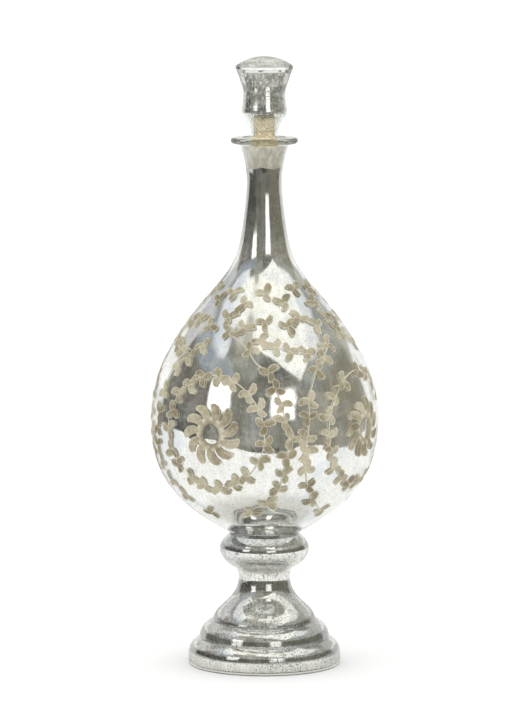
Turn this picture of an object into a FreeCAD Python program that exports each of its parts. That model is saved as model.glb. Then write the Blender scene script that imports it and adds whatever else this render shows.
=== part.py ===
import FreeCAD, Part
import os

import Sketcher
from FreeCAD import Vector

# A footed, stoppered scent bottle of silvered glass, in millimetres.
# +Z is up and the origin is the centre of the foot's resting ring.
# The pieces, from the bench up: a disc that closes the hollow foot, the blown foot and its silvering, the
# blown bottle and its silvering, the flat collar fused round its mouth, and the stopper, which is a blown
# knob with its own silvering, held on a turned cork.

# Driving dimensions: name, value, meaning.
SIZES = [
    ("bottle_wall", 2.0, "glass thickness of the bottle"),
    ("foot_wall", 2.2, "glass thickness of the foot"),
    ("knob_wall", 2.0, "glass thickness of the stopper knob"),
    ("silver_gap", 0.05, "space left between the glass and its silvering"),
    ("silver_film", 0.15, "drawn thickness of the silvering"),
    ("bottle_silver_top", 327.4, "height at which the silvering of the neck stops"),
    ("foot_silver_bottom", 4.2, "height at which the silvering of the foot starts"),
    ("knob_silver_bottom", 363.1, "height at which the silvering of the knob starts"),
    ("collar_outer", 22.0, "radius of the collar round the mouth"),
    ("collar_bore", 13.9, "radius of the hole in the collar"),
    ("collar_thick", 4.0, "thickness of the collar"),
    ("rim_round", 0.6, "rounding of the foot's resting ring"),
    ("seal_radius", 47.5, "radius of the disc that closes the foot"),
    ("seal_bottom", 1.4, "height of the disc's underside"),
    ("seal_thick", 2.4, "thickness of the disc"),
    ("seal_bevel", 0.5, "bevel round the disc's edges"),
    ("cap_shoulder_r", 18.3, "radius where the knob's rim rounds into its dome"),
    ("cap_shoulder_z", 394.1, "height where the knob's rim rounds into its dome"),
    ("cap_side_z", 393.1, "height where the knob's straight rim ends"),
    ("cap_round", 1.2, "rounding of the knob's rim"),
    ("cap_top", 400.0, "height of the whole object"),
    ("plug_radius", 9.2, "radius of the cork in the neck"),
    ("plug_bottom", 312.0, "height of the cork's lower end"),
    ("plug_bevel", 1.0, "bevel round the cork's ends"),
    ("plug_shoulder", 347.4, "height of the cork's shoulder, on which the knob stands"),
    ("shank_radius", 6.5, "radius of the cork's shank, squeezed through the knob's mouth"),
    ("shank_waist", 351.0, "height at which the shank starts to swell inside the knob"),
    ("shank_swell", 7.0, "radius of the shank swollen inside the knob"),
    ("shank_swell_z", 358.2, "height at which the shank is fully swollen"),
    ("shank_top", 361.3, "height of the cork's upper end"),
]

# Stations of the glass outlines, as name, radius and height: the control points of each curve. The foot's three
# curves meet in creases: each starts where the last one ends, and the stem's ends at the bottle's seat.
BOTTLE_CURVE = [
    ("seat", 22.1, 87.2),
    ("underside", 39.2, 96.5),
    ("low_belly", 69.8, 116.8),
    ("belly", 79.0, 170.5),
    ("high_belly", 61.7, 215.2),
    ("shoulder", 29.4, 252.4),
    ("neck_root", 16.8, 268.2),
    ("neck", 12.1, 305.1),
    ("throat", 10.2, 325.1),
    ("mouth", 16.0, 343.0),
]
FOOT_RIM_CURVE = [
    ("rim_side", 49.9, 6.5),
    ("rim_roll", 49.9, 10.8),
    ("rim_crown", 48.3, 15.2),
    ("low_notch", 42.7, 18.0),
]
FOOT_STEP_CURVE = [
    ("step_side", 42.6, 21.3),
    ("step_crown", 40.8, 27.3),
    ("high_notch", 33.8, 29.4),
]
FOOT_STEM_CURVE = [
    ("skirt", 33.0, 35.0),
    ("bell", 22.4, 42.6),
    ("waist_low", 16.5, 52.6),
    ("waist_high", 16.8, 63.7),
    ("knop_under", 23.6, 65.7),
    ("knop_side", 30.7, 74.5),
    ("knop_crown", 29.1, 81.6),
]
KNOB_CURVE = [
    ("foot", 8.7, 347.5),
    ("cone_low", 7.9, 350.4),
    ("cone_high", 12.5, 359.5),
    ("corner", 15.5, 362.7),
    ("grip_low", 14.2, 367.4),
    ("grip_high", 13.2, 377.5),
    ("flare_low", 15.2, 381.5),
    ("flare_high", 17.2, 388.4),
    ("rim", 18.8, 391.8),
]
CAVITY_CURVE = [
    ("waist", 11.1, 377.9),
    ("chest", 11.5, 383.0),
    ("shoulder", 12.3, 388.0),
    ("roof", 12.7, 390.6),
]

VERTICAL_AXIS = -2
ORIGIN = (-1, 1)
START, END, CENTRE = 1, 2, 3


def fill_sheet(document):
    """Writes every driving dimension into the spreadsheet, each under its own name."""
    sheet = document.addObject("Spreadsheet::Sheet", "Sizes")
    rows = list(SIZES)
    curves = [("bottle", BOTTLE_CURVE), ("foot", FOOT_RIM_CURVE), ("foot", FOOT_STEP_CURVE)]
    curves += [("foot", FOOT_STEM_CURVE), ("knob", KNOB_CURVE), ("cavity", CAVITY_CURVE)]
    for part_name, curve in curves:
        for station, radius, height in curve:
            rows.append((f"{part_name}_{station}_r", radius, "radius of this station"))
            rows.append((f"{part_name}_{station}_z", height, "height of this station"))
    for number, (alias, value, meaning) in enumerate(rows, start=1):
        sheet.set(f"A{number}", meaning)
        sheet.set(f"B{number}", str(value))
        sheet.setAlias(f"B{number}", alias)
    document.recompute()
    return sheet


def stations(part_name, curve):
    """The curve's stations as pairs of expressions that read the sheet."""
    return [(f"Sizes.{part_name}_{name}_r", f"Sizes.{part_name}_{name}_z") for name, _, _ in curve]


def inset(points, before, after, depth):
    """Moves a rising curve's control points into the glass by depth, square to the curve.

    before and after are the points on either side of the curve, which set the direction at its ends.
    """
    chain = [before] + points + [after]
    moved = []
    for (r_low, z_low), (radius, height), (r_high, z_high) in zip(chain, chain[1:], chain[2:]):
        run = f"(({r_high}) - ({r_low}))"
        rise = f"(({z_high}) - ({z_low}))"
        share = f"({depth}) / hypot({run}; {rise})"
        moved.append((f"{radius} - {share} * {rise}", f"{height} + {share} * {run}"))
    return moved


class Outline:
    """A closed half section in a body's XZ plane, drawn corner by corner and bound to the sheet."""

    def __init__(self, body, name, start):
        self.sketch = body.newObject("Sketcher::SketchObject", name)
        plane = [item for item in body.Origin.OriginFeatures if item.Role == "XZ_Plane"][0]
        self.sketch.AttachmentSupport = [(plane, "")]
        self.sketch.MapMode = "FlatFace"
        self.first_point = start
        self.first_end = None
        self.last_end = None
        self.here = self.at(start)

    def value(self, expression):
        return float(self.sketch.evalExpression(expression))

    def at(self, point):
        return Vector(self.value(point[0]), self.value(point[1]), 0)

    def pin(self, geometry, vertex, point):
        """Holds one vertex at the radius and height that the expressions give."""
        for kind, expression in (("DistanceX", point[0]), ("DistanceY", point[1])):
            value = self.value(expression)
            if kind == "DistanceX" and value == 0:
                on_axis = Sketcher.Constraint("PointOnObject", geometry, vertex, VERTICAL_AXIS)
                self.sketch.addConstraint(on_axis)
                continue
            fixed = Sketcher.Constraint(kind, *ORIGIN, geometry, vertex, value)
            index = self.sketch.addConstraint(fixed)
            self.sketch.setExpression(f"Constraints[{index}]", expression)

    def follow(self, geometry, near, far, point):
        """Joins the new edge's near end to the last edge and moves on to its far end."""
        if self.last_end:
            joint = Sketcher.Constraint("Coincident", *self.last_end, geometry, near)
            self.sketch.addConstraint(joint)
        else:
            self.first_end = (geometry, near)
        self.last_end = (geometry, far)
        self.here = self.at(point)

    def line(self, point):
        geometry = self.sketch.addGeometry(Part.LineSegment(self.here, self.at(point)), False)
        self.pin(geometry, END, point)
        self.follow(geometry, START, END, point)

    def arc(self, point, radius, bulge):
        """An arc of the given radius; bulge is 1 where the centre lies left of the way drawn, else -1."""
        target = self.at(point)
        size = self.value(radius)
        chord = target - self.here
        across = Vector(-chord.y, chord.x, 0).normalize()
        reach = max(size ** 2 - (chord.Length / 2) ** 2, 0) ** 0.5
        centre = self.here + chord * 0.5 + across * reach * bulge
        circle = Part.Circle(centre, Vector(0, 0, 1), size)
        begin, finish = (self.here, target) if bulge > 0 else (target, self.here)
        shape = Part.ArcOfCircle(circle, circle.parameter(begin), circle.parameter(finish))
        geometry = self.sketch.addGeometry(shape, False)
        near, far = (START, END) if bulge > 0 else (END, START)
        self.pin(geometry, far, point)
        index = self.sketch.addConstraint(Sketcher.Constraint("Radius", geometry, size))
        self.sketch.setExpression(f"Constraints[{index}]", radius)
        self.follow(geometry, near, far, point)

    def dome(self, point):
        """An arc up to a point on the vertical axis, with its centre on that axis too."""
        target = self.at(point)
        rise = target.y - self.here.y
        size = (self.here.x ** 2 + rise ** 2) / (2 * rise)
        centre = Vector(0, target.y - size, 0)
        circle = Part.Circle(centre, Vector(0, 0, 1), size)
        shape = Part.ArcOfCircle(circle, circle.parameter(self.here), circle.parameter(target))
        geometry = self.sketch.addGeometry(shape, False)
        self.pin(geometry, END, point)
        centred = Sketcher.Constraint("PointOnObject", geometry, CENTRE, VERTICAL_AXIS)
        self.sketch.addConstraint(centred)
        self.follow(geometry, START, END, point)

    def curve(self, points):
        """A cubic spline whose control points are the place reached and the given points."""
        poles = [self.here] + [self.at(point) for point in points]
        spans = len(poles) - 3
        knots = [step / spans for step in range(spans + 1)]
        repeats = [4] + [1] * (spans - 1) + [4]
        spline = Part.BSplineCurve(poles, repeats, knots, False, 3, None, False)
        geometry = self.sketch.addGeometry(spline, False)
        circles = []
        for index, pole in enumerate(poles):
            circle = self.sketch.addGeometry(Part.Circle(pole, Vector(0, 0, 1), 1.0), True)
            kind = "InternalAlignment:Sketcher::BSplineControlPoint"
            self.sketch.addConstraint(Sketcher.Constraint(kind, circle, CENTRE, geometry, index))
            if index == 0:
                self.sketch.addConstraint(Sketcher.Constraint("Weight", circle, 1.0))
            else:
                self.sketch.addConstraint(Sketcher.Constraint("Equal", circles[0], circle))
                self.pin(circle, CENTRE, points[index - 1])
            circles.append(circle)
        self.follow(geometry, START, END, points[-1])

    def finish(self):
        """Joins the last edge, which has already come back to the first corner, to the first edge."""
        self.sketch.addConstraint(Sketcher.Constraint("Coincident", *self.last_end, *self.first_end))
        return self.sketch

    def close(self):
        """Draws the last line back to the first corner."""
        self.line(self.first_point)
        return self.finish()


def new_body(document, name):
    body = document.addObject("PartDesign::Body", name)
    body.Label = name
    return body


def turn(body, sketch, kind="PartDesign::Revolution"):
    """Turns a half section right round the vertical axis, as a solid or as a cut."""
    feature = body.newObject(kind, kind.split("::")[1])
    feature.Profile = sketch
    feature.ReferenceAxis = (sketch, ["V_Axis"])
    feature.Angle = 360.0
    body.Tip = feature
    return feature


def trim(body, name, low, high, reach):
    """Cuts away everything between two heights, out to the radius reach."""
    outline = Outline(body, name, ("0", low))
    outline.line((reach, low))
    outline.line((reach, high))
    outline.line(("0", high))
    cut = turn(body, outline.close(), "PartDesign::Groove")
    return cut


def make_bottle_glass(document):
    """The blown body: a flat seat for the foot, the pear-shaped belly, and the neck up to its mouth."""
    body = new_body(document, "bottle_glass")
    outer = stations("bottle", BOTTLE_CURVE)
    seat_centre = ("0", "Sizes.bottle_seat_z")
    inner = inset(outer, seat_centre, outer[-1], "Sizes.bottle_wall")
    inner[-1] = ("Sizes.bottle_mouth_r - Sizes.bottle_wall", "Sizes.bottle_mouth_z")
    outline = Outline(body, "BottleSection", seat_centre)
    outline.line(outer[0])
    outline.curve(outer[1:])
    outline.line(inner[-1])
    outline.curve(inner[-2::-1])
    outline.line(("0", inner[0][1]))
    turn(body, outline.close())
    return body


def make_bottle_silver(document):
    """The silvering inside the bottle, up to its level in the neck."""
    body = new_body(document, "bottle_silver")
    glass = stations("bottle", BOTTLE_CURVE)
    seat_centre = ("0", "Sizes.bottle_seat_z")
    near = "Sizes.bottle_wall + Sizes.silver_gap"
    far = near + " + Sizes.silver_film"
    outer = inset(glass, seat_centre, glass[-1], near)
    inner = inset(glass, seat_centre, glass[-1], far)
    outer[-1] = (f"Sizes.bottle_mouth_r - ({near})", "Sizes.bottle_mouth_z")
    inner[-1] = (f"Sizes.bottle_mouth_r - ({far})", "Sizes.bottle_mouth_z")
    outline = Outline(body, "SilverSection", ("0", outer[0][1]))
    outline.line(outer[0])
    outline.curve(outer[1:])
    outline.line(inner[-1])
    outline.curve(inner[-2::-1])
    outline.line(("0", inner[0][1]))
    turn(body, outline.close())
    trim(body, "SilverLevel", "Sizes.bottle_silver_top", "Sizes.bottle_mouth_z + 1", "Sizes.bottle_mouth_r")
    return body


def make_mouth_collar(document):
    """The flat collar of clear glass fused on the end of the neck, with a half-round edge."""
    body = new_body(document, "mouth_collar")
    low = "Sizes.bottle_mouth_z"
    middle = "Sizes.bottle_mouth_z + Sizes.collar_thick / 2"
    high = "Sizes.bottle_mouth_z + Sizes.collar_thick"
    edge = "Sizes.collar_thick / 2"
    lip = "Sizes.collar_thick / 4"
    flat = f"Sizes.collar_outer - {edge}"
    outline = Outline(body, "CollarSection", ("Sizes.collar_bore", low))
    outline.line((flat, low))
    outline.arc(("Sizes.collar_outer", middle), edge, 1)
    outline.arc((flat, high), edge, 1)
    outline.line((f"Sizes.collar_bore + {lip}", high))
    outline.arc(("Sizes.collar_bore", f"{high} - {lip}"), lip, 1)
    turn(body, outline.close())
    return body


def foot_chain():
    """The foot's outer control points from the bench up, and where each of its three curves ends."""
    rim = stations("foot", FOOT_RIM_CURVE)
    step = stations("foot", FOOT_STEP_CURVE)
    stem = stations("foot", FOOT_STEM_CURVE)
    seat = [("Sizes.bottle_seat_r", "Sizes.bottle_seat_z")]
    return rim + step + stem + seat, (len(rim), len(rim) + len(step))


def draw_foot_side(outline, points, ends, upwards):
    """Draws the three curves of the foot, with a crease between each, from the end already reached."""
    first, second = ends
    if upwards:
        outline.curve(points[1:first])
        outline.curve(points[first:second])
        outline.curve(points[second:])
    else:
        outline.curve(points[second - 1:-1][::-1])
        outline.curve(points[first - 1:second - 1][::-1])
        outline.curve(points[:first - 1][::-1])


def make_foot_glass(document):
    """The blown foot: a resting ring, a rolled rim, a step, a bell and a knop, hollow right through."""
    body = new_body(document, "foot_glass")
    outer, ends = foot_chain()
    rim_bottom = ("Sizes.foot_rim_side_r", "0")
    seat_centre = ("0", "Sizes.bottle_seat_z")
    inner = inset(outer, rim_bottom, seat_centre, "Sizes.foot_wall")
    wall_inside = "Sizes.foot_rim_side_r - Sizes.foot_wall"
    outline = Outline(body, "FootSection", (f"{wall_inside} + Sizes.rim_round", "0"))
    outline.line(("Sizes.foot_rim_side_r - Sizes.rim_round", "0"))
    outline.arc(("Sizes.foot_rim_side_r", "Sizes.rim_round"), "Sizes.rim_round", 1)
    outline.line(outer[0])
    draw_foot_side(outline, outer, ends, True)
    outline.line(seat_centre)
    outline.line(("0", inner[-1][1]))
    outline.line(inner[-1])
    draw_foot_side(outline, inner, ends, False)
    outline.line((wall_inside, "Sizes.rim_round"))
    outline.arc((f"{wall_inside} + Sizes.rim_round", "0"), "Sizes.rim_round", 1)
    turn(body, outline.finish())
    return body


def make_foot_silver(document):
    """The silvering inside the foot, from just above the closing disc."""
    body = new_body(document, "foot_silver")
    glass, ends = foot_chain()
    rim_bottom = ("Sizes.foot_rim_side_r", "0")
    seat_centre = ("0", "Sizes.bottle_seat_z")
    near = "Sizes.foot_wall + Sizes.silver_gap"
    far = near + " + Sizes.silver_film"
    outer = inset(glass, rim_bottom, seat_centre, near)
    inner = inset(glass, rim_bottom, seat_centre, far)
    outline = Outline(body, "SilverSection", (inner[0][0], "Sizes.foot_silver_bottom"))
    outline.line((outer[0][0], "Sizes.foot_silver_bottom"))
    outline.line(outer[0])
    draw_foot_side(outline, outer, ends, True)
    outline.line(("0", outer[-1][1]))
    outline.line(("0", inner[-1][1]))
    outline.line(inner[-1])
    draw_foot_side(outline, inner, ends, False)
    turn(body, outline.close())
    return body


def make_foot_seal(document):
    """The felt-faced board disc that closes the hollow foot, set up inside its rim."""
    body = new_body(document, "foot_seal")
    low = "Sizes.seal_bottom"
    high = "Sizes.seal_bottom + Sizes.seal_thick"
    inside = "Sizes.seal_radius - Sizes.seal_bevel"
    outline = Outline(body, "SealSection", ("0", low))
    outline.line((inside, low))
    outline.line(("Sizes.seal_radius", f"{low} + Sizes.seal_bevel"))
    outline.line(("Sizes.seal_radius", f"{high} - Sizes.seal_bevel"))
    outline.line((inside, high))
    outline.line(("0", high))
    turn(body, outline.close())
    return body


def knob_inside(depth):
    """The knob's inner outline, depth inside its outer one below the waist and nearly upright above it."""
    glass = stations("knob", KNOB_CURVE)
    below = inset(glass, glass[0], glass[-1], depth)[: len(KNOB_CURVE) - len(CAVITY_CURVE)]
    below[0] = (f"Sizes.knob_foot_r - ({depth})", "Sizes.knob_foot_z")
    past_wall = f"({depth} - Sizes.knob_wall)"
    above = [(f"{radius} - {past_wall}", height) for radius, height in stations("cavity", CAVITY_CURVE)]
    above[-1] = (above[-1][0], f"Sizes.cavity_roof_z - {past_wall}")
    return below + above


def make_stopper_glass(document):
    """The blown knob: open at the bottom for its cork, waisted, with a thick domed cap of clear glass."""
    body = new_body(document, "stopper_glass")
    outer = stations("knob", KNOB_CURVE)
    inner = knob_inside("Sizes.knob_wall")
    outline = Outline(body, "KnobSection", inner[0])
    outline.line(outer[0])
    outline.curve(outer[1:])
    outline.line(("Sizes.knob_rim_r", "Sizes.cap_side_z"))
    outline.arc(("Sizes.cap_shoulder_r", "Sizes.cap_shoulder_z"), "Sizes.cap_round", 1)
    outline.dome(("0", "Sizes.cap_top"))
    outline.line(("0", inner[-1][1]))
    outline.line(inner[-1])
    outline.curve(inner[-2::-1])
    turn(body, outline.finish())
    return body


def make_stopper_silver(document):
    """The silvering inside the knob, above its clear cone."""
    body = new_body(document, "stopper_silver")
    near = "Sizes.knob_wall + Sizes.silver_gap"
    outer = knob_inside(near)
    inner = knob_inside(near + " + Sizes.silver_film")
    outline = Outline(body, "SilverSection", inner[0])
    outline.line(outer[0])
    outline.curve(outer[1:])
    outline.line(("0", outer[-1][1]))
    outline.line(("0", inner[-1][1]))
    outline.line(inner[-1])
    outline.curve(inner[-2::-1])
    turn(body, outline.finish())
    trim(body, "SilverLevel", "Sizes.knob_foot_z - 1", "Sizes.knob_silver_bottom", "Sizes.knob_rim_r")
    return body


def make_stopper_cork(document):
    """The turned cork: a plug for the neck, a shoulder, and a shank that swells inside the knob."""
    body = new_body(document, "stopper_cork")
    plug_inside = "Sizes.plug_radius - Sizes.plug_bevel"
    swell_inside = "Sizes.shank_swell - Sizes.plug_bevel"
    outline = Outline(body, "CorkSection", ("0", "Sizes.plug_bottom"))
    outline.line((plug_inside, "Sizes.plug_bottom"))
    outline.line(("Sizes.plug_radius", "Sizes.plug_bottom + Sizes.plug_bevel"))
    outline.line(("Sizes.plug_radius", "Sizes.plug_shoulder"))
    outline.line(("Sizes.shank_radius", "Sizes.plug_shoulder"))
    outline.line(("Sizes.shank_radius", "Sizes.shank_waist"))
    outline.line(("Sizes.shank_swell", "Sizes.shank_swell_z"))
    outline.line(("Sizes.shank_swell", "Sizes.shank_top - Sizes.plug_bevel"))
    outline.line((swell_inside, "Sizes.shank_top"))
    outline.line(("0", "Sizes.shank_top"))
    turn(body, outline.close())
    return body


def check(document, bodies):
    """Stops if any object failed to compute or any piece isn't one valid solid."""
    for item in document.Objects:
        if "Invalid" in item.State or "Error" in item.State:
            raise RuntimeError(f"{item.Name} is {item.State}")
        if item.TypeId == "Sketcher::SketchObject" and not item.FullyConstrained:
            raise RuntimeError(f"{item.Name} isn't fully constrained")
    for body in bodies:
        if body.Shape.isNull() or not body.Shape.isValid() or len(body.Shape.Solids) != 1:
            raise RuntimeError(f"{body.Label} isn't one valid solid")
        for groove in [item for item in body.Group if item.TypeId == "PartDesign::Groove"]:
            if groove.Shape.Volume >= groove.BaseFeature.Shape.Volume:
                raise RuntimeError(f"{groove.Name} of {body.Label} cut nothing")


def main():
    document = FreeCAD.newDocument("scent_bottle")
    fill_sheet(document)
    makers = [make_foot_seal, make_foot_glass, make_foot_silver, make_bottle_glass, make_bottle_silver]
    makers += [make_mouth_collar, make_stopper_glass, make_stopper_silver, make_stopper_cork]
    bodies = [maker(document) for maker in makers]
    document.recompute()
    check(document, bodies)
    os.makedirs("parts", exist_ok=True)
    for body in bodies:
        body.Placement = FreeCAD.Placement()
        body.Shape.exportStep(f"parts/{body.Label}.step")
        print(body.Label, round(body.Shape.Volume / 1000, 2), "cm3", body.Shape.BoundBox)


main()
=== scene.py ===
"""Looks for a tall footed scent bottle of silvered, wheel-cut glass with a corked knob stopper."""

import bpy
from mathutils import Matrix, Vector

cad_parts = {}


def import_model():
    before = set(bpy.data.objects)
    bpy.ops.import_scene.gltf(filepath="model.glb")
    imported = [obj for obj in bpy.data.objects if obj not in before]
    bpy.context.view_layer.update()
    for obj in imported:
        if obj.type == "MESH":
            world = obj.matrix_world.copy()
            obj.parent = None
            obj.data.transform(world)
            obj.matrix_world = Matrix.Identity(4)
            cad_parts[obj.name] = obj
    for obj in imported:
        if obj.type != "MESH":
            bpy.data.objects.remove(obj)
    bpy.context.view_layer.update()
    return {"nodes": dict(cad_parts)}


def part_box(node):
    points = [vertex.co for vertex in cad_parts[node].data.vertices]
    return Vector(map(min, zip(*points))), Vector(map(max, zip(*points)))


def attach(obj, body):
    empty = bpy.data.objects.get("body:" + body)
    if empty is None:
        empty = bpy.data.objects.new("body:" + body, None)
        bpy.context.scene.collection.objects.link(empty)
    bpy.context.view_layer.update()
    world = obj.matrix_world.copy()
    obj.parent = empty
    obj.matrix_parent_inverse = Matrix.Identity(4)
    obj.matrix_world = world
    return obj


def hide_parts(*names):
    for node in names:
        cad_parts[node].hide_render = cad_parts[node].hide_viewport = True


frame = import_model()

import math
import random

import bpy
import numpy as np

MM = 0.001
SHELL, CUT, FACET, STEM, COLLAR = 0, 1, 2, 3, 4

# ---------------------------------------------------------------- outlines, read from the frame

SEAM_TOLERANCE = 1e-6
CORNER_TURN = math.radians(14)
STRAIGHT_RATIO = 6
SMOOTH_TURN = math.radians(4)


def seam(node):
    """The (r, z) points, in order, where a turned CAD solid crosses the half plane y = 0, x > 0."""
    mesh = frame["nodes"][node].data
    number, known = {}, {}
    for vertex in mesh.vertices:
        x, y, z = vertex.co
        if abs(y) < SEAM_TOLERANCE and x > -SEAM_TOLERANCE:
            place = (max(round(x, 6), 0.0), round(z, 6))
            number[vertex.index] = known.setdefault(place, len(known))
    points = list(known)
    links = {i: set() for i in range(len(points))}
    for edge in mesh.edges:
        a, b = (number.get(i) for i in edge.vertices)
        if a is not None and b is not None and a != b:
            links[a].add(b)
            links[b].add(a)
    order = [min(links, key=lambda i: (len(links[i]), i))]
    used = set(order)
    while True:
        onward = sorted(links[order[-1]] - used)
        if not onward:
            return [points[i] for i in order]
        order.append(onward[0])
        used.add(onward[0])


def oriented(points):
    """The closed loop, run so that its outside is on the right."""
    pairs = zip(points, points[1:] + points[:1])
    area = sum(a[0] * b[1] - b[0] * a[1] for a, b in pairs)
    return points if area > 0 else points[::-1]


def loop(node, to_axis=False):
    """A turned solid's outline as a closed loop with its outside on the right."""
    points = seam(node)
    if to_axis:
        if points[0][0] > SEAM_TOLERANCE:
            points.insert(0, (0.0, points[0][1]))
        if points[-1][0] > SEAM_TOLERANCE:
            points.append((0.0, points[-1][1]))
    return oriented(points)


def unit(vector):
    return vector / np.hypot(vector[0], vector[1])


def tangents(points, ahead, length):
    """The direction of the curve at each point, and whether the point is a corner."""
    directions, corners = [], []
    for i in range(len(points)):
        before, after = ahead[i - 1], ahead[i]
        turn = math.atan2(before[0] * after[1] - before[1] * after[0], float(before @ after))
        corners.append(abs(turn) > CORNER_TURN)
        short, long = sorted((length[i - 1], length[i]))
        if long > STRAIGHT_RATIO * short:
            directions.append(before if length[i - 1] > length[i] else after)
        else:
            directions.append(unit(before * length[i] + after * length[i - 1]))
    return directions, corners


def refine(points, step):
    """Rounds a closed loop's smooth stretches.

    Gives the finer points, and the outward normals on arriving at and on leaving each of them.
    """
    points = np.array(points)
    chord = np.roll(points, -1, axis=0) - points
    length = np.hypot(chord[:, 0], chord[:, 1])
    ahead = chord / length[:, None]
    directions, corners = tangents(points, ahead, length)
    stretches = []
    for i, here in enumerate(points):
        j = (i + 1) % len(points)
        start, end = directions[i], directions[j]
        if corners[i] and corners[j]:
            start = end = ahead[i]
        elif corners[i]:
            start = 2 * (end @ ahead[i]) * ahead[i] - end
        elif corners[j]:
            end = 2 * (start @ ahead[i]) * ahead[i] - start
        bend = math.acos(max(-1.0, min(1.0, float(start @ end))))
        pieces = max(math.ceil(length[i] / step), math.ceil(bend / SMOOTH_TURN), 1)
        t = (np.arange(pieces + 1) / pieces)[:, None]
        pull_start, pull_end = start * length[i], end * length[i]
        curve = (
            (2 * t**3 - 3 * t**2 + 1) * here
            + (t**3 - 2 * t**2 + t) * pull_start
            + (3 * t**2 - 2 * t**3) * points[j]
            + (t**3 - t**2) * pull_end
        )
        slope = (
            6 * (t**2 - t) * (here - points[j])
            + (3 * t**2 - 4 * t + 1) * pull_start
            + (3 * t**2 - 2 * t) * pull_end
        )
        normal = np.stack([slope[:, 1], -slope[:, 0]], axis=1)
        normal /= np.hypot(normal[:, 0], normal[:, 1])[:, None]
        stretches.append((curve[:-1], normal))
    finer = np.concatenate([curve for curve, _ in stretches])
    leaving = np.concatenate([normal[:-1] for _, normal in stretches])
    arriving = np.concatenate(
        [
            np.vstack([stretches[i - 1][1][-1:], normal[1:-1]])
            for i, (_, normal) in enumerate(stretches)
        ]
    )
    return finer, arriving, leaving


# ---------------------------------------------------------------- turned meshes


def new_piece(name, mesh, body, materials, replaced=()):
    """Makes mesh a piece that rides on a CAD body and stands for CAD nodes."""
    piece = bpy.data.objects.new(name, mesh)
    bpy.context.scene.collection.objects.link(piece)
    for material in materials:
        mesh.materials.append(material)
    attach(piece, body)
    if replaced:
        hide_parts(*replaced)
    return piece


def turned(name, outline, step, segments):
    """A mesh of the closed outline turned about the z axis, with the outline's own normals."""
    points, arriving, leaving = refine(outline, step)
    angle = np.arange(segments) * (2 * math.pi / segments)
    across, deep = np.sin(angle), -np.cos(angle)
    vertices, rings = [], []
    for r, z in points:
        if r < SEAM_TOLERANCE:
            rings.append(np.full(segments, len(vertices)))
            vertices.append((0.0, 0.0, z))
        else:
            rings.append(len(vertices) + np.arange(segments))
            vertices.extend(zip(r * across, r * deep, np.full(segments, z)))
    faces, normals = [], []
    for i in range(len(points)):
        j = (i + 1) % len(points)
        low, high = leaving[i], arriving[j]
        for a in range(segments):
            b = (a + 1) % segments
            corners = (
                (rings[i][a], low, a),
                (rings[i][b], low, b),
                (rings[j][b], high, b),
                (rings[j][a], high, a),
            )
            kept = []
            for corner in corners:
                if all(corner[0] != other[0] for other in kept):
                    kept.append(corner)
            if len(kept) > 2:
                faces.append([int(corner[0]) for corner in kept])
                normals.extend((n[0] * across[k], n[0] * deep[k], n[1]) for _, n, k in kept)
    mesh = bpy.data.meshes.new(name)
    mesh.from_pydata(vertices, [], faces)
    mesh.shade_smooth()
    mesh.normals_split_custom_set(normals)
    return mesh


# ---------------------------------------------------------------- node helpers


def linear(red, green, blue):
    """A colour given in display values from 0 to 255, as shaders want it."""
    def one(value):
        value /= 255
        return value / 12.92 if value <= 0.04045 else ((value + 0.055) / 1.055) ** 2.4
    return (one(red), one(green), one(blue), 1.0)


def add(tree, kind, inputs=None, **settings):
    """Adds a node. inputs maps a socket's name or number to a value or to another node's output."""
    node = tree.nodes.new(kind)
    for key, value in settings.items():
        setattr(node, key, value)
    for key, value in (inputs or {}).items():
        if isinstance(value, bpy.types.NodeSocket):
            tree.links.new(value, node.inputs[key])
        else:
            node.inputs[key].default_value = value
    return node


def calculate(tree, operation, a, b=0.0):
    return add(tree, "ShaderNodeMath", {0: a, 1: b}, operation=operation).outputs[0]


def blend(tree, factor, a, b, mode="MIX"):
    inputs = {0: factor, 6: a, 7: b}
    return add(tree, "ShaderNodeMix", inputs, data_type="RGBA", blend_type=mode).outputs[2]


def ease(tree, value, low, high, start=0.0, end=1.0):
    """Goes smoothly from start to end while value goes from low to high."""
    inputs = {0: value, 1: low, 2: high, 3: start, 4: end}
    return add(tree, "ShaderNodeMapRange", inputs, interpolation_type="SMOOTHSTEP").outputs[0]


def band(tree, value, low, high, soft):
    """1 between low and high and 0 outside, with soft edges."""
    rise = ease(tree, value, calculate(tree, "SUBTRACT", low, soft), calculate(tree, "ADD", low, soft))
    fall = ease(tree, value, calculate(tree, "SUBTRACT", high, soft), calculate(tree, "ADD", high, soft))
    return calculate(tree, "SUBTRACT", rise, fall)


def noise(tree, place, scale, detail=2.0, roughness=0.5):
    inputs = {"Vector": place, "Scale": scale, "Detail": detail, "Roughness": roughness}
    return add(tree, "ShaderNodeTexNoise", inputs).outputs[0]


def stretch(tree, place, x, y, z):
    inputs = {0: place, 1: (x, y, z)}
    return add(tree, "ShaderNodeVectorMath", inputs, operation="MULTIPLY").outputs[0]


def new_material(name):
    """A material whose node tree holds one Principled shader, and the object's own coordinates."""
    material = bpy.data.materials.new(name)
    material.use_nodes = True
    tree = material.node_tree
    shader = next(node for node in tree.nodes if node.type == "BSDF_PRINCIPLED")
    place = add(tree, "ShaderNodeTexCoord").outputs["Object"]
    return material, tree, shader, place


def connect(tree, shader, **inputs):
    """Sets or links a shader's inputs; an underscore stands for a space in an input's name."""
    for name, value in inputs.items():
        socket = shader.inputs[name.replace("_", " ")]
        if isinstance(value, bpy.types.NodeSocket):
            tree.links.new(value, socket)
        else:
            socket.default_value = value


# ---------------------------------------------------------------- materials


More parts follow.
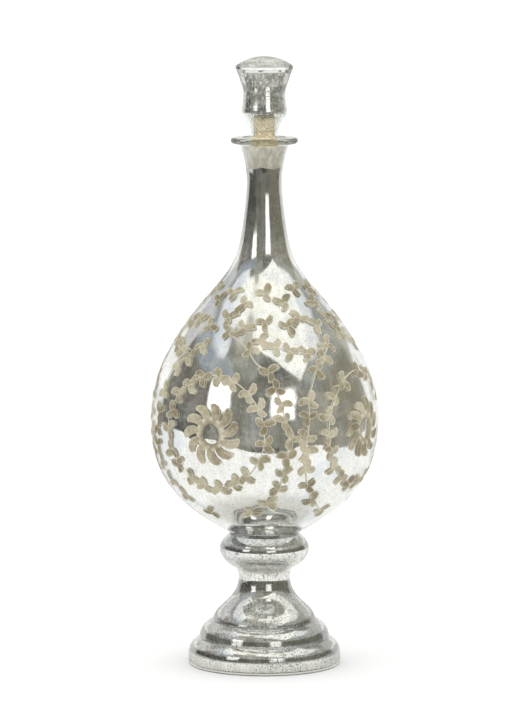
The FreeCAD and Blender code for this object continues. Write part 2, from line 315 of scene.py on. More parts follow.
def glass(name, tint, roughness):
    """Clear blown glass. It lets shadow and diffuse rays straight through, so what is inside stays lit."""
    material, tree, shader, place = new_material(name)
    connect(tree, shader, Base_Color=tint, Roughness=roughness, IOR=1.5, Transmission_Weight=1.0)
    ripple = noise(tree, stretch(tree, place, 1.0, 1.0, 0.5), 55.0)
    bump = add(tree, "ShaderNodeBump", {"Strength": 0.15, "Distance": 0.0002, "Height": ripple})
    connect(tree, shader, Normal=bump.outputs[0])
    path = add(tree, "ShaderNodeLightPath")
    through = calculate(tree, "MAXIMUM", path.outputs["Is Shadow Ray"], path.outputs["Is Diffuse Ray"])
    clear = add(tree, "ShaderNodeBsdfTransparent", {0: (0.95, 0.96, 0.95, 1.0)})
    mixed = add(tree, "ShaderNodeMixShader", {0: through, 1: shader.outputs[0], 2: clear.outputs[0]})
    output = next(node for node in tree.nodes if node.type == "OUTPUT_MATERIAL")
    tree.links.new(mixed.outputs[0], output.inputs[0])
    return material


# The sine of the elevation between which a mirror faces the low part of the room's walls.
WALLS_START = (-0.1, 0.0)
WALLS_END = (0.34, 0.5)


def painted_wall_shade(tree, depth):
    """Painted shade on a mirror's reflection: the share of its colour kept, depth where it faces the low
    part of the walls, and 1 elsewhere.
    """
    away = add(tree, "ShaderNodeTexCoord").outputs["Reflection"]
    rise = add(tree, "ShaderNodeSeparateXYZ", {0: away}).outputs[2]
    begun = ease(tree, rise, *WALLS_START)
    facing = calculate(tree, "MULTIPLY", begun, ease(tree, rise, *WALLS_END, 1.0, 0.0))
    return ease(tree, facing, 0.0, 1.0, 1.0, depth)


SILVER, TARNISH, BLOOM = linear(251, 251, 249), linear(233, 233, 229), linear(214, 222, 232)
HAZE, SPECK = linear(226, 225, 219), linear(92, 88, 80)
THIN_FILM, THICK_FILM, FILM_FLECK = linear(196, 195, 182), linear(214, 213, 205), linear(92, 84, 72)
# Painted shade: the bottle's silver darkens with height up the neck, to NECK_SHADE of its colour.
NECK_START, NECK_END, NECK_SHADE = 0.262, 0.290, 0.62
EDGE_RAGGEDNESS = 0.005
EDGE_SOFTNESS = 0.0003


def mirror_colour(tree, place, grain):
    """Silver with streaks of tarnish and a bluish bloom."""
    streaks = noise(tree, stretch(tree, place, 1.0, 1.0, 0.16), 240.0, 4.0, 0.6)
    streaks = calculate(tree, "ADD", streaks, calculate(tree, "MULTIPLY", grain, 0.4))
    mirror = blend(tree, ease(tree, streaks, 0.45, 0.95), SILVER, TARNISH)
    bloom = ease(tree, noise(tree, place, 24.0, 4.0, 0.7), 0.48, 0.62, 0.0, 0.55)
    return blend(tree, bloom, mirror, BLOOM)


def fade_out(tree, place, past, shown, dull, speck, film_range):
    """Thins the silvering to a flecked film where past, a height in metres, is above 0.

    Gives the new colour and dullness, and the share that stays opaque.
    """
    edge = noise(tree, stretch(tree, place, 1.0, 1.0, 0.35), 260.0, 4.0)
    ragged = calculate(tree, "MULTIPLY", calculate(tree, "SUBTRACT", edge, 0.5), EDGE_RAGGEDNESS)
    gone = ease(tree, calculate(tree, "ADD", past, ragged), -EDGE_SOFTNESS, EDGE_SOFTNESS)
    film = noise(tree, stretch(tree, place, 1.0, 1.0, 0.3), 330.0, 4.0)
    film = ease(tree, film, 0.3, 0.7, *film_range)
    fleck = calculate(tree, "MULTIPLY", speck, 0.55)
    film = calculate(tree, "MAXIMUM", film, fleck)
    bare = calculate(tree, "MULTIPLY", gone, calculate(tree, "SUBTRACT", 1.0, film))
    pale = blend(tree, film, THIN_FILM, THICK_FILM)
    shown = blend(tree, gone, shown, blend(tree, fleck, pale, FILM_FLECK))
    dull = calculate(tree, "MAXIMUM", dull, calculate(tree, "MULTIPLY", gone, 0.75))
    return shown, dull, calculate(tree, "SUBTRACT", 1.0, bare)


def silvering(name, haze, specks, ripples, depth=1.0, fade=None, fade_way=1.0, film_range=(0.35, 0.75)):
    """Old silvering: a mirror with slow ripples, cloudy tarnish, a pale grainy haze and dark specks.

    depth darkens, as painted shade, what it shows of the room's low walls; without depth, painted shade
    darkens it up the neck.
    fade is the height at which the mirror stops at a ragged edge and thins to a pale film; the film lies
    above it where fade_way is 1 and below it where fade_way is -1.
    """
    material, tree, shader, place = new_material(name)
    cloud = noise(tree, place, 55.0, 5.0, 0.65)
    grain = noise(tree, stretch(tree, place, 1.0, 1.0, 0.6), 700.0, 3.0, 0.6)
    fine = noise(tree, place, 1150.0, 2.0, 0.6)
    rough_patch = calculate(tree, "ADD", cloud, calculate(tree, "MULTIPLY", grain, 0.9))
    veil = calculate(tree, "MULTIPLY", ease(tree, rough_patch, 0.78, 1.2), haze)
    speck = calculate(tree, "ADD", fine, calculate(tree, "MULTIPLY", cloud, 0.3))
    speck = calculate(tree, "MULTIPLY", ease(tree, speck, 0.88 - specks, 0.91 - specks), 0.85)
    height = add(tree, "ShaderNodeSeparateXYZ", {0: place}).outputs[2]
    # Painted shade: the mirror's colour and haze are darkened where it reflects the low walls or, for the
    # bottle, up the neck.
    if depth < 1.0:
        shade = painted_wall_shade(tree, depth)
    else:
        shade = ease(tree, height, NECK_START, NECK_END, 1.0, NECK_SHADE)
    mirror = blend(tree, 1.0, mirror_colour(tree, place, grain), shade, "MULTIPLY")
    veil = calculate(tree, "MULTIPLY", veil, shade)
    shown = blend(tree, speck, blend(tree, veil, mirror, HAZE), SPECK)
    dull = calculate(tree, "MAXIMUM", veil, speck)
    wave = noise(tree, stretch(tree, place, 1.0, 1.0, 0.7), 34.0, 1.0)
    dimple = calculate(tree, "ADD", wave, calculate(tree, "MULTIPLY", grain, 0.008))
    bump = add(tree, "ShaderNodeBump", {"Strength": 1.0, "Distance": ripples, "Height": dimple})
    if fade is not None:
        past = calculate(tree, "MULTIPLY", calculate(tree, "SUBTRACT", height, fade), fade_way)
        shown, dull, opaque = fade_out(tree, place, past, shown, dull, speck, film_range)
        connect(tree, shader, Alpha=opaque)
    connect(
        tree,
        shader,
        Base_Color=shown,
        Metallic=calculate(tree, "SUBTRACT", 1.0, dull),
        Roughness=ease(tree, dull, 0.0, 1.0, 0.02, 0.35),
        Normal=bump.outputs[0],
    )
    return material


def cut_glass(name, dark, light, edge):
    """The matt floor of a wheel cut: pale and chalky, with a painted highlight along its shallow rim, and
    lit from behind.
    """
    material, tree, shader, place = new_material(name)
    depth = add(tree, "ShaderNodeAttribute", attribute_name="cut_depth").outputs["Fac"]
    # Painted highlight: rim is 1 where the cut is shallow, near its edge.
    rim = ease(tree, depth, 0.00002, 0.00016, 1.0, 0.0)
    chalk = noise(tree, place, 420.0, 4.0, 0.6)
    patch = noise(tree, place, 62.0, 1.0)
    chalk = calculate(tree, "MULTIPLY", chalk, 0.4)
    shade = calculate(tree, "ADD", chalk, calculate(tree, "MULTIPLY", patch, 0.6))
    floor = blend(tree, ease(tree, shade, 0.34, 0.66), dark, light)
    # The edge colour is painted onto the rim as a highlight.
    colour = blend(tree, calculate(tree, "MULTIPLY", rim, 0.8), floor, edge)
    tooth = noise(tree, place, 2600.0, 3.0)
    bump = add(tree, "ShaderNodeBump", {"Strength": 0.5, "Distance": 0.0001, "Height": tooth})
    connect(tree, shader, Base_Color=colour, Roughness=0.7, Specular_IOR_Level=0.35, Normal=bump.outputs[0])
    glow = add(tree, "ShaderNodeBsdfTranslucent", {0: colour})
    mixed = add(tree, "ShaderNodeMixShader", {0: 0.42, 1: shader.outputs[0], 2: glow.outputs[0]})
    output = next(node for node in tree.nodes if node.type == "OUTPUT_MATERIAL")
    tree.links.new(mixed.outputs[0], output.inputs[0])
    return material


def cork():
    """Natural cork: tan grain with dark pores and paler flecks."""
    material, tree, shader, place = new_material("cork_grain")
    grain = noise(tree, stretch(tree, place, 1.0, 1.0, 0.45), 420.0, 6.0, 0.7)
    cells = add(tree, "ShaderNodeTexVoronoi", {"Vector": stretch(tree, place, 1, 1, 1.8), "Scale": 520.0})
    base = blend(tree, ease(tree, grain, 0.3, 0.7), linear(206, 180, 140), linear(246, 236, 208))
    pits = ease(tree, noise(tree, stretch(tree, place, 1, 1, 2.4), 330.0, 4.0, 0.75), 0.57, 0.64)
    lined = blend(tree, ease(tree, cells.outputs[0], 0.0, 0.35, 0.35, 0.0), base, linear(120, 88, 54))
    colour = blend(tree, calculate(tree, "MULTIPLY", pits, 0.9), lined, linear(62, 42, 26))
    relief = calculate(tree, "SUBTRACT", grain, calculate(tree, "MULTIPLY", pits, 0.9))
    bump = add(tree, "ShaderNodeBump", {"Strength": 0.7, "Distance": 0.0004, "Height": relief})
    connect(tree, shader, Base_Color=colour, Roughness=0.85, Specular_IOR_Level=0.2, Normal=bump.outputs[0])
    return material


def felt():
    """The felt face of the disc that closes the foot: dark, short and fibrous."""
    material, tree, shader, place = new_material("seal_felt")
    fibre = noise(tree, stretch(tree, place, 1.0, 2.2, 1.0), 900.0, 6.0, 0.7)
    colour = blend(tree, ease(tree, fibre, 0.3, 0.7), linear(58, 55, 52), linear(118, 113, 106))
    bump = add(tree, "ShaderNodeBump", {"Strength": 0.8, "Distance": 0.0004, "Height": fibre})
    connect(tree, shader, Base_Color=colour, Roughness=0.95, Sheen_Weight=0.4, Normal=bump.outputs[0])
    return material


# ---------------------------------------------------------------- the wheel-cut pattern

PATTERN_REPEATS = 4
PATTERN_TURN = 90.0
FLOWER_LONGITUDE = -28.0
FLOWER_HEIGHT = 161.0
LEAF_SPACING = 9.4
LOBE_CLEARANCE = 11.0

# Leaves on strings, as (degrees to the right of the flower, height in mm).
RIGHT_STRING = (
    (2, 224), (11, 220), (18, 214), (23, 207), (30, 201), (34, 191), (37, 181), (38.5, 170),
    (40.5, 158), (39.5, 147), (38, 135), (36, 124), (31, 114),
)
LEFT_STRING = (
    (74, 216), (66, 209), (59, 202), (55, 194), (52, 184), (51, 172), (50, 160), (49, 149),
    (50, 138), (53, 126), (60, 115), (74, 106),
)
SWAG = ((25, 221), (35, 217), (45, 214), (55, 212), (65, 213))
LOW_LEAVES = ((19, 108), (-16, 106))
WREATH_LEAVES = 19
WREATH_RADIUS = 36.0
UPPER_RINGS = ((231.0, 24, 2.0), (246.0, 20, 3.0))
PETALS = 11
PETAL_START = 7.4
MIDDLE = (10.0, 11.4)
OVAL = (7.5, 8.0)


class Cutters:
    """Closed cutting shapes that lie on the bottle's outer surface. All lengths are in mm."""

    def __init__(self, points):
        outer = points[:, 0] > 0
        climb = np.hypot(*np.diff(points[outer], axis=0).T)
        self.arc = np.concatenate([[0.0], np.cumsum(climb)])
        self.r, self.z = points[outer].T
        slope = np.gradient(points[outer], self.arc, axis=0)
        self.nr, self.nz = slope[:, 1], -slope[:, 0]
        self.vertices, self.faces, self.kinds = [], [], []

    def clear(self):
        self.vertices, self.faces, self.kinds = [], [], []

    def place(self, longitude, height, across, along, lift):
        """The point across and along from a spot on the surface, raised by lift; in metres."""
        s = np.interp(height, self.z, self.arc) + along
        r, z, nr, nz = (np.interp(s, self.arc, column) for column in (self.r, self.z, self.nr, self.nz))
        turn = np.radians(longitude) + across / r
        reach = r + nr * lift
        return np.stack([reach * np.sin(turn), -reach * np.cos(turn), z + nz * lift], axis=-1) * MM

    def grow(self, rings, kind):
        """Adds a closed shape from rings of points; the first and last ring may be a single point."""
        starts = []
        for ring in rings:
            starts.append(len(self.vertices))
            self.vertices.extend(map(tuple, ring))
        for (a, ring_a), (b, ring_b) in zip(zip(starts, rings), zip(starts[1:], rings[1:])):
            count = max(len(ring_a), len(ring_b))
            for k in range(count):
                m = (k + 1) % count
                if len(ring_a) == 1:
                    face = (a, b + m, b + k)
                elif len(ring_b) == 1:
                    face = (a + k, a + m, b)
                else:
                    face = (a + k, a + m, b + m, b + k)
                self.faces.append(face)
                self.kinds.append(kind)

    def dish(self, spot, shape, depth, kind=CUT, sides=12, levels=(0.5, 0.82, 1.12)):
        """A shallow dish. shape turns the unit disc into millimetres across and along the surface."""
        angle = np.arange(sides) * (2 * math.pi / sides)
        rings = []
        for level in (0.0,) + levels:
            a, b = (level * np.cos(angle), level * np.sin(angle)) if level else (np.zeros(1), np.zeros(1))
            across, along = shape(a, b)
            rings.append(self.place(*spot, across, along, np.full(len(a), depth * (level**2 - 1))))
        rings.append(self.place(*spot, across, along, np.full(sides, 1.2)))
        middle = shape(np.zeros(1), np.zeros(1))
        rings.append(self.place(*spot, *middle, np.full(1, 1.2)))
        self.grow(rings, kind)

    def groove(self, path, half_width=0.36, depth=0.16):
        """A V-shaped groove along a path of (longitude, height) points."""
        longitude, height = smooth_path(path)
        radius = np.interp(height, self.z, self.r)
        climb = np.gradient(np.interp(height, self.z, self.arc))
        sweep = np.gradient(np.radians(longitude)) * radius
        size = np.hypot(climb, sweep)
        side_across, side_along = -climb / size, sweep / size
        above = 0.5
        spread = half_width * (1 + above / depth)
        section = ((0.0, -depth), (spread, above), (-spread, above))
        rings = []
        for k in range(len(longitude)):
            across = np.array([offset * side_across[k] for offset, _ in section])
            along = np.array([offset * side_along[k] for offset, _ in section])
            lift = np.array([raised for _, raised in section])
            rings.append(self.place(longitude[k], height[k], across, along, lift))
        rings.insert(0, rings[0].mean(axis=0, keepdims=True))
        rings.append(rings[-1].mean(axis=0, keepdims=True))
        self.grow(rings, STEM)

    def build(self, name):
        mesh = bpy.data.meshes.new(name)
        mesh.from_pydata(self.vertices, [], self.faces)
        mesh.polygons.foreach_set("material_index", self.kinds)
        cutter = bpy.data.objects.new(name, mesh)
        bpy.context.scene.collection.objects.link(cutter)
        return cutter


def smooth_path(path, pieces=5):
    """Longitudes and heights along a smooth curve through the path's points."""
    points = np.array(path, float)
    padded = np.vstack([2 * points[0] - points[1], points, 2 * points[-1] - points[-2]])
    t = (np.arange(pieces) / pieces)[:, None]
    curve = []
    for a, b, c, d in zip(padded, padded[1:], padded[2:], padded[3:]):
        square, cube = 2 * a - 5 * b + 4 * c - d, 3 * b - a - 3 * c + d
        curve.append(0.5 * (2 * b + (c - a) * t + square * t**2 + cube * t**3))
    curve.append(points[-1:])
    return np.concatenate(curve).T


def ellipse(half_across, half_along):
    """Turns the unit disc into an ellipse."""
    def shape(a, b):
        return a * half_across, b * half_along

    return shape


def petal(turn, start, length, half_width, curl):
    """Turns the unit disc into a comma that starts near a flower's middle and hooks at its far end."""
    share = np.linspace(0, 1, 60)
    heading = turn + curl * share**2.1
    middle_u = start * math.cos(turn) + np.cumsum(np.cos(heading)) * length / len(share)
    middle_v = start * math.sin(turn) + np.cumsum(np.sin(heading)) * length / len(share)

    def shape(a, b):
        place = (a + 1) / 2
        beyond = np.clip(place, 0, 1)
        u, v, facing = (np.interp(beyond, share, column) for column in (middle_u, middle_v, heading))
        past = (place - beyond) * length
        width = b * half_width * (0.95 + 0.08 * a)
        return (
            u + past * np.cos(facing) - width * np.sin(facing),
            v + past * np.sin(facing) + width * np.cos(facing),
        )

    return shape


def lobe_shape(turn, size, curl):
    """Turns the unit disc into one hooked lobe of a leaf."""
    return petal(turn, -0.6, 8.6 * size, 2.7 * size, curl)


def wreath():
    """Leaf places round a flower, as (degrees from the flower, height)."""
    spots = []
    for k in range(WREATH_LEAVES):
        angle = 2 * math.pi * (k + 0.5) / WREATH_LEAVES
        height = FLOWER_HEIGHT + WREATH_RADIUS * 1.04 * math.sin(angle)
        spots.append((math.degrees(WREATH_RADIUS * math.cos(angle) / 73.0), height))
    return spots


def strings():
    """Every string of leaves in one quarter of the pattern."""
    return [wreath(), list(RIGHT_STRING), list(LEFT_STRING), list(SWAG), list(LOW_LEAVES)]


def leaf_places(cutters, draw):
    """Every leaf's (longitude, height), leaving out those too near to an earlier one."""
    wanted = []
    for repeat in range(PATTERN_REPEATS):
        centre = FLOWER_LONGITUDE + PATTERN_TURN * repeat
        for string in strings():
            for turn, height in string:
                wanted.append((centre + turn + draw.uniform(-1, 1), height + draw.uniform(-1, 1)))
    for height, count, zigzag in UPPER_RINGS:
        for k in range(count):
            longitude = 360 * k / count + draw.uniform(-4, 4)
            wanted.append((longitude, height + zigzag * (-1) ** k + draw.uniform(-2, 2)))
    kept, places = [], []
    for longitude, height in wanted:
        spot = cutters.place(longitude, height, np.zeros(1), np.zeros(1), np.zeros(1))[0] / MM
        if all(np.linalg.norm(spot - other) > LEAF_SPACING for other in kept):
            kept.append(spot)
            places.append((longitude, height))
    return places


def apart(cutters, lobes):
    """Sorts the lobes into groups in which no two overlap."""
    groups = []
    for spot, shape in lobes:
        across, along = shape(np.zeros(1), np.zeros(1))
        middle = cutters.place(*spot, across, along, np.zeros(1))[0] / MM
        for group in groups:
            if all(np.linalg.norm(middle - other) > LOBE_CLEARANCE for other, _, _ in group):
                group.append((middle, spot, shape))
                break
        else:
            groups.append([(middle, spot, shape)])
    return [[(spot, shape) for _, spot, shape in group] for group in groups]


def cut_pattern(shell, cutters):
    """Cuts the flowers, leaves and stems into the bottle's outer surface."""
    draw = random.Random(11)
    centres = [FLOWER_LONGITUDE + PATTERN_TURN * k for k in range(PATTERN_REPEATS)]
    for centre in centres:
        cutters.dish((centre, FLOWER_HEIGHT), ellipse(*MIDDLE), 0.28, sides=36)
    apply_cut(shell, cutters, "flower_middles")
    for parity in range(3):
        for centre in centres:
            for k in range(parity, PETALS, 3):
                turn = 2 * math.pi * (k + 0.5) / PETALS - 0.2
                length, half_width = draw.uniform(14.6, 16.2), draw.uniform(2.9, 3.2)
                comma = petal(turn, PETAL_START, length, half_width, draw.uniform(1.8, 2.4))
                cutters.dish((centre, FLOWER_HEIGHT), comma, 0.5, sides=18, levels=(0.4, 0.7, 0.9, 1.1))
        apply_cut(shell, cutters, f"petals_{parity}")
    lobes = []
    for spot in leaf_places(cutters, draw):
        turn, lean = draw.uniform(0, 2 * math.pi), draw.choice((-1, 1))
        for lobe in range(3):
            angle = turn + lobe * 2 * math.pi / 3 + draw.uniform(-0.3, 0.3)
            lobes.append((spot, lobe_shape(angle, draw.uniform(0.85, 1.1), lean * draw.uniform(1.7, 2.3))))
    for number, group in enumerate(apart(cutters, lobes)):
        for spot, leaf in group:
            cutters.dish(spot, leaf, 0.32, sides=14)
        apply_cut(shell, cutters, f"leaf_lobes_{number}")
    for centre in centres:
        spot = (centre, FLOWER_HEIGHT)
        cutters.dish(spot, ellipse(*OVAL), 0.8, FACET, sides=36, levels=(0.35, 0.7, 1.1))
        ring = wreath()
        cutters.groove([(centre + turn, height) for turn, height in ring + ring[:1]])
    apply_cut(shell, cutters, "ovals_and_wreaths")
    for centre in centres:
        for string in (RIGHT_STRING, LEFT_STRING, SWAG):
            cutters.groove([(centre + turn, height) for turn, height in string])
    apply_cut(shell, cutters, "string_stems")


def apply_cut(shell, cutters, name):
    cutter = cutters.build(name)
    modifier = shell.modifiers.new(name, "BOOLEAN")
    modifier.operation = "DIFFERENCE"
    modifier.solver = "MANIFOLD"
    modifier.object = cutter
    graph = bpy.context.evaluated_depsgraph_get()
    cut = bpy.data.meshes.new_from_object(shell.evaluated_get(graph), depsgraph=graph)
    shell.modifiers.remove(modifier)
    shell.data = cut
    bpy.data.objects.remove(cutter)
    cutters.clear()


LOWEST_CUT, HIGHEST_CUT = 92.0, 262.0
CUT_DEPTH_SHOWN = 0.1


def dress_cuts(shell, cutters):
    """Gives the uncut outside its turned normals, keeps cut edges crisp and stores the depth of the cuts."""
    mesh = shell.data
    count = len(mesh.vertices)
    place = np.zeros(count * 3)
    mesh.vertices.foreach_get("co", place)
    place = place.reshape(-1, 3) / MM
    r, z = np.hypot(place[:, 0], place[:, 1]), place[:, 2]
    outside = np.interp(z, cutters.z, cutters.r) - r
    steepness = np.interp(z, cutters.z, cutters.nr)
    depth = np.clip(outside * steepness, 0, 1.5)
    mesh.attributes.new("cut_depth", "FLOAT", "POINT").data.foreach_set("value", depth * MM)
    mesh.set_sharp_from_angle(angle=math.radians(22))
    kind = np.zeros(len(mesh.polygons), int)
    mesh.polygons.foreach_get("material_index", kind)
    sizes = np.zeros(len(mesh.polygons), int)
    mesh.polygons.foreach_get("loop_total", sizes)
    corner = np.zeros(len(mesh.loops), int)
    mesh.loops.foreach_get("vertex_index", corner)
    level = z[corner]
    within = (level > LOWEST_CUT) & (level < HIGHEST_CUT)
    uncut = np.repeat(kind == SHELL, sizes) & (depth[corner] < CUT_DEPTH_SHOWN) & within
    nr, nz = (np.interp(level, cutters.z, column) for column in (cutters.nr, cutters.nz))
    x, y = (place[corner, k] / r[corner] for k in (0, 1))
    normals = np.stack([nr * x, nr * y, nz], axis=1)
    normals[~uncut] = 0
    mesh.normals_split_custom_set(normals)


# ---------------------------------------------------------------- pieces

SILVER_SKIN = 0.2 * MM
SILVER_BITE = 0.03 * MM
MOUTH_TOP = float(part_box("bottle_glass")[1].z)
BELOW_COLLAR = 0.33


def bottle_outline():
    """The bottle's outline with its collar fused on."""
    bottle, collar = loop("bottle_glass"), loop("mouth_collar")
    top = max(z for _, z in bottle)
    lip = [i for i, (_, z) in enumerate(bottle) if abs(z - top) < SEAM_TOLERANCE]
    widest = max(lip, key=lambda i: bottle[i][0])
    bottle = bottle[widest:] + bottle[:widest]
    start = max(range(len(collar)), key=lambda i: (abs(collar[i][1] - top) < SEAM_TOLERANCE, collar[i][0]))
    collar = collar[start:] + collar[:start]
    above = [point for point in collar if point[1] > top + SEAM_TOLERANCE or point[0] > bottle[0][0]]
    return bottle[:1] + above + bottle[1:]


def offset(points, distance):
    """Moves every point of a closed loop outwards, square to the loop; points on the axis stay on it."""
    before, after = np.roll(points, 1, axis=0), np.roll(points, -1, axis=0)
    across = np.zeros_like(points)
    for way in (points - before, after - points):
        across += way / np.hypot(way[:, 0], way[:, 1])[:, None]
    normal = np.stack([across[:, 1], -across[:, 0]], axis=1)
    moved = points + distance * normal / np.hypot(normal[:, 0], normal[:, 1])[:, None]
    moved[points[:, 0] < SEAM_TOLERANCE, 0] = 0.0
    return moved


def lining(node, low, high):
    """The closed outline of a thin film on the inner wall of a hollow solid, between two heights.

    From the lower of the two points where the solid's outline leaves the axis, the outline of a hollow that
    opens downwards runs down its inner wall first; one that opens upwards comes down it last.
    """
    points = refine(loop(node, True), 1.5 * MM)[0]
    on_axis = points[:, 0] < SEAM_TOLERANCE
    lower_end = next(i for i in range(len(points)) if on_axis[i - 1] and not on_axis[i]) - 1
    points = np.roll(points, -lower_end, axis=0)
    higher_end = next(i for i in range(1, len(points)) if points[i, 0] < SEAM_TOLERANCE)
    height = points[: higher_end + 1, 1]
    opens_down = height.max() - height[-1] < SEAM_TOLERANCE
    if opens_down:
        inner_wall = range(0, int(height.argmin()))
    else:
        rim = int(np.flatnonzero(height > height.max() - SEAM_TOLERANCE)[-1])
        inner_wall = range(rim, higher_end + 1)
    kept = [i for i in inner_wall if low <= points[i, 1] <= high]
    in_glass, in_hollow = offset(points, -SILVER_BITE), offset(points, SILVER_SKIN)
    return oriented([tuple(in_glass[i]) for i in kept] + [tuple(in_hollow[i]) for i in kept[::-1]])


def turned_piece(name, outline, step, segments, body, material, node):
    """A turned piece of one material, standing for one CAD node."""
    new_piece(name, turned(name, outline, step, segments), body, (material,), (node,))


def cut_shell():
    """The bottle and its collar in one glass, with the pattern cut into it."""
    materials = (
        glass("bottle_glass", (0.985, 0.99, 0.98, 1.0), 0.0),
        # The last colour of each cut material is its painted rim highlight.
        cut_glass("cut_matt", linear(150, 139, 112), linear(216, 209, 184), linear(238, 234, 214)),
        glass("polished_cut", (0.985, 0.99, 0.98, 1.0), 0.0),
        cut_glass("cut_stem", linear(212, 207, 186), linear(232, 228, 210), linear(240, 237, 222)),
        glass("rim_glass", (0.52, 0.56, 0.50, 1.0), 0.0),
    )
    outline = bottle_outline()
    shell = new_piece(
        "bottle_shell", turned("bottle_shell", outline, 3.0 * MM, 160), "bottle",
        materials, ("bottle_glass", "mouth_collar"),
    )
    for face in shell.data.polygons:
        face.material_index = COLLAR if face.center.z > MOUTH_TOP - 0.1 * MM else SHELL
    points, _, leaving = refine(outline, 1.0 * MM)
    outer = (leaving[:, 0] > 0.05) & (points[:, 1] < BELOW_COLLAR)
    cutters = Cutters(points[outer] / MM)
    cut_pattern(shell, cutters)
    dress_cuts(shell, cutters)
    return materials[SHELL]


def build_bottle():
    wall = cut_shell()
    level = float(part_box("bottle_silver")[1].z)
    inside = lining("bottle_glass", 0.0, MOUTH_TOP - 1.0 * MM)
    silver = silvering("bottle_silvering", 0.22, 0.07, 0.0009, fade=level)
    turned_piece(
        "bottle_lining", inside, 2.0 * MM, 192, "bottle", silver, "bottle_silver"
    )
    turned_piece(
        "foot_shell", loop("foot_glass"), 2.0 * MM, 160, "bottle", wall, "foot_glass"
    )
    inside = lining("foot_glass", 0.8 * MM, 1.0)
    silver = silvering("foot_silvering", 0.42, 0.17, 0.0006, depth=0.45)
    turned_piece("foot_lining", inside, 2.0 * MM, 192, "bottle", silver, "foot_silver")
    disc = loop("foot_seal", True)
    turned_piece("foot_closing_disc", disc, 3.0 * MM, 96, "bottle", felt(), "foot_seal")


def build_stopper():
    clear = glass("clear_glass", (0.955, 0.96, 0.95, 1.0), 0.0)
    knob = loop("stopper_glass", True)
    turned_piece("knob", knob, 1.0 * MM, 128, "stopper", clear, "stopper_glass")
    mouth = float(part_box("stopper_glass")[0].z)
    level = float(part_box("stopper_silver")[0].z)
    inside = lining("stopper_glass", mouth + 0.4 * MM, 1.0)
    silver = silvering(
        "knob_silvering", 0.7, 0.165, 0.0007, depth=0.72, fade=level, fade_way=-1.0, film_range=(0.0, 0.05)
    )
    turned_piece(
        "knob_lining", inside, 1.0 * MM, 128, "stopper", silver, "stopper_silver"
    )
    plug = loop("stopper_cork", True)
    turned_piece("cork_plug", plug, 1.5 * MM, 96, "stopper", cork(), "stopper_cork")


# ---------------------------------------------------------------- studio

CAMERA_DISTANCE = 3.2725
CAMERA_HEIGHT = 0.6087
AIM_HEIGHT = 0.1983
LENS = 249.2
SHIFT = -0.0060
TABLE = (
    (-1.3, 2.0), (-1.3, -0.02), (-0.55, -0.22), (-0.30, -0.41),
    (0.26, -0.41), (0.46, -0.28), (0.60, 0.05), (0.9, 2.0),
)

# What the silver sees: colour, brightness, azimuth and elevation ranges in degrees, and edge softness.
# Azimuth 0 is towards the camera and 90 is to its right.
ROOM = linear(128, 126, 116)
PATCHES = (
    (linear(250, 250, 249), 1.1, -400, -129, -90, 17, 4),
    (linear(250, 250, 249), 1.1, 129, 400, -90, 17, 4),
    (linear(206, 207, 206), 1.0, -400, -112, 17, 40, 5),
    (linear(196, 193, 184), 1.0, 122, 400, 17, 36, 5),
    (linear(94, 91, 84), 1.0, -130, -60, -30, 12, 5),
    (linear(112, 108, 100), 1.0, -122, -60, 12, 32, 5),
    (linear(142, 138, 122), 1.0, 38, 130, -30, 28, 6),
    (linear(156, 158, 151), 1.0, 50, 130, 28, 41, 4),
    (linear(142, 142, 133), 1.0, -24, 14, -17, 13, 3),
    (linear(74, 71, 64), 1.0, -14, 16, -24, -18, 1.5),
    (linear(158, 165, 172), 1.0, -112, -40, 31, 46, 5),
    (linear(240, 243, 246), 1.0, -125, -66, 44, 64, 3),
    (linear(250, 250, 247), 1.0, 66, 128, 40, 62, 3),
    (linear(148, 150, 140), 1.0, -48, 2, 38, 62, 5),
    (linear(108, 107, 99), 1.0, -6, 30, 35, 50, 4),
    (linear(252, 251, 248), 2.3, -62, -41, 11, 30, 3),
    (linear(252, 250, 245), 2.3, 9, 32, 4, 30, 3),
)


CREAM = tuple(1.15 * channel for channel in linear(255, 254, 246))
WEDGE_FOOT, WEDGE_SIDE = 33.0, 41.0
OVERHEAD = (53.0, 62.0)
STREAK_SIDES, STREAK_HEIGHTS = (-50, -28, 6), (44, 69, 4)


def looking(tree, turning):
    """The direction looked in, and its azimuth and elevation in degrees, both a little swirled."""
    way = add(tree, "ShaderNodeTexCoord", object=turning).outputs["Object"]
    way = add(tree, "ShaderNodeVectorMath", {0: way}, operation="NORMALIZE").outputs[0]
    parts = add(tree, "ShaderNodeSeparateXYZ", {0: way}).outputs
    forward = calculate(tree, "MULTIPLY", parts[1], -1.0)
    swirl = calculate(tree, "SUBTRACT", noise(tree, way, 2.6, 5.0, 0.65), 0.5)
    azimuth = calculate(tree, "DEGREES", calculate(tree, "ARCTAN2", parts[0], forward))
    elevation = calculate(tree, "DEGREES", calculate(tree, "ARCSINE", parts[2]))
    azimuth = calculate(tree, "ADD", azimuth, calculate(tree, "MULTIPLY", swirl, 7.0))
    elevation = calculate(tree, "ADD", elevation, calculate(tree, "MULTIPLY", swirl, -6.0))
    return way, parts[2], azimuth, elevation


def ceiling(tree, azimuth, elevation, seen):
    """Adds the cream ceiling, which comes down in front as a wedge, and a dull streak across it."""
    climb = calculate(tree, "MAXIMUM", calculate(tree, "SUBTRACT", elevation, WEDGE_FOOT), 0.0)
    bend = calculate(tree, "MULTIPLY", calculate(tree, "POWER", climb, 1.7), 0.26)
    left = calculate(tree, "SUBTRACT", WEDGE_SIDE, bend)
    right = calculate(tree, "ADD", WEDGE_SIDE, calculate(tree, "MULTIPLY", climb, 2.8))
    wedge = calculate(tree, "MULTIPLY", band(tree, azimuth, left, right, 3.0), ease(tree, climb, 0.0, 2.0))
    seen = blend(tree, wedge, seen, CREAM)
    seen = blend(tree, ease(tree, elevation, *OVERHEAD), seen, CREAM)
    across, along = band(tree, azimuth, *STREAK_SIDES), band(tree, elevation, *STREAK_HEIGHTS)
    streak = calculate(tree, "MULTIPLY", calculate(tree, "MULTIPLY", across, along), 0.75)
    return blend(tree, streak, seen, linear(156, 150, 134))


